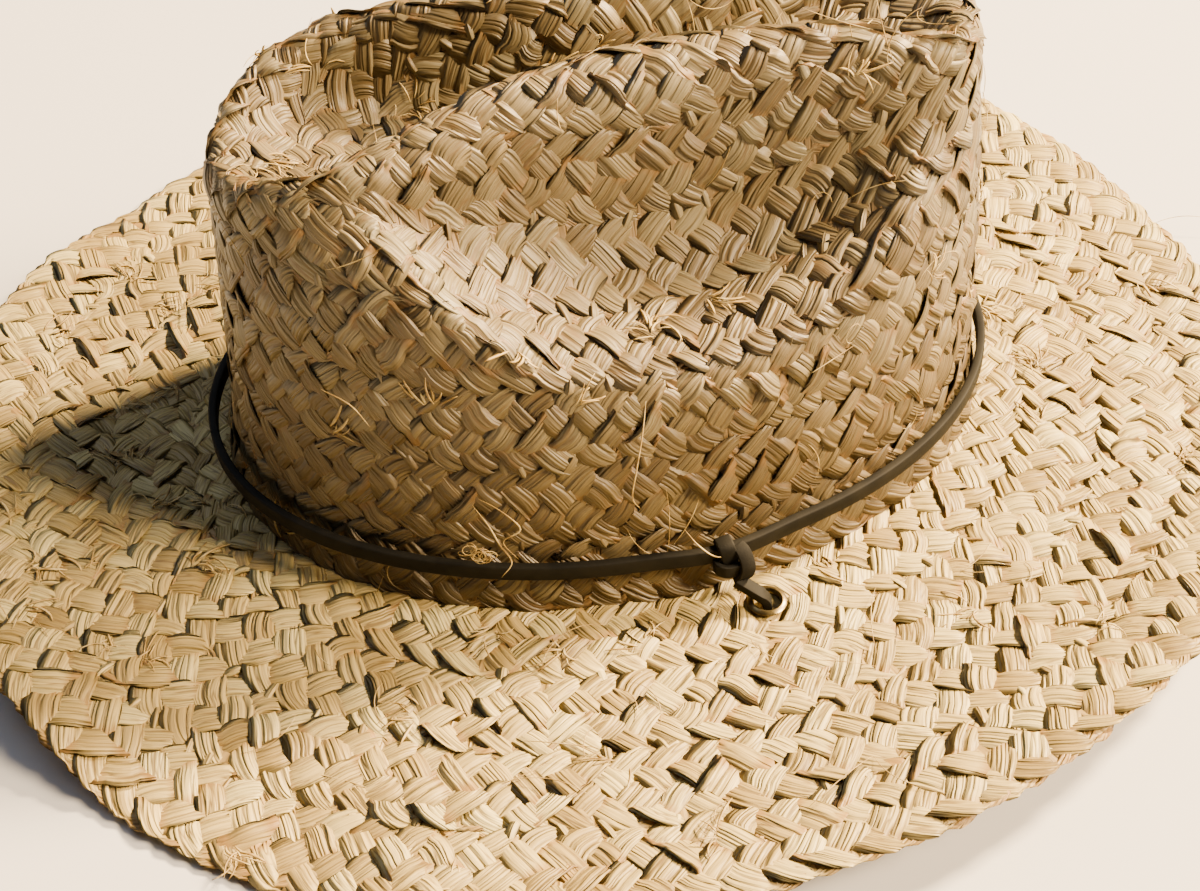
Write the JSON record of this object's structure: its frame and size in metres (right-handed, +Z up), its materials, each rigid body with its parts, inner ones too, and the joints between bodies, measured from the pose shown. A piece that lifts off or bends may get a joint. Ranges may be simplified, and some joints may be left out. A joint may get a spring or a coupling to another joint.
{
  "type": "raffia lifeguard hat",
  "caption": "Wide-brimmed sun hat of sewn raffia braid with a creased and pinched crown, a leather lace round the crown, eyelets and a chin strap.",
  "frame": {"origin": "on the surface the hat rests on, under the middle of the hat's box", "axes": "+Z up out of the crown, -X towards the front of the hat, -Y towards the wearer's left"},
  "size_m": [0.368, 0.353, 0.1285],
  "materials": {
    "raffia": "natural raffia plaited and sewn in braid, dry and slightly glossy, with bleached, golden and brown strands",
    "lace_leather": "near-black leather lace, smooth on its face and sueded at its cut edges",
    "eyelet_metal": "antique brass, darkened, with a worn rim"
  },
  "bodies": {
    "root": {"crown": "raffia", "brim": "raffia", "band_lace": "lace_leather", "knot_left": "lace_leather", "knot_right": "lace_leather", "eyelet_left": "eyelet_metal", "eyelet_right": "eyelet_metal", "chin_strap": "lace_leather"}
  },
  "joints": []
}
